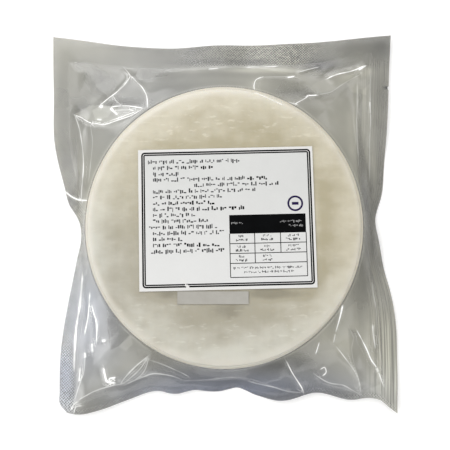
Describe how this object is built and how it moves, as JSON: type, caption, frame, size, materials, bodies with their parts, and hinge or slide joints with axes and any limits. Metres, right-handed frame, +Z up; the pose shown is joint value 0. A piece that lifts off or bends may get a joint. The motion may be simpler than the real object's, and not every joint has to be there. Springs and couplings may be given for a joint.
{
  "type": "rice paper wrapper stack",
  "caption": "Round stack of rice paper wrappers, vacuum sealed in a clear pouch with a wrinkled, drawn-in skirt and a printed paper label on its front.",
  "frame": {"origin": "centre of the stack's flat underside, on the surface that the pack lies on", "axes": "+Z up out of the label, +Y along the pouch from its narrower foot seal to its wide head seal, +X to the label's right"},
  "size_m": [0.2795, 0.3065, 0.0186],
  "materials": {
    "clear_film": "clear, glossy, creased",
    "rice_paper": "translucent cream, faintly woven",
    "label_paper": "semi-gloss coated paper",
    "label_print": "black print",
    "grey_paper": "matt pale grey"
  },
  "bodies": {
    "root": {"pouch": "clear_film", "label": "label_paper", "date_sticker": "grey_paper"}
  },
  "joints": []
}
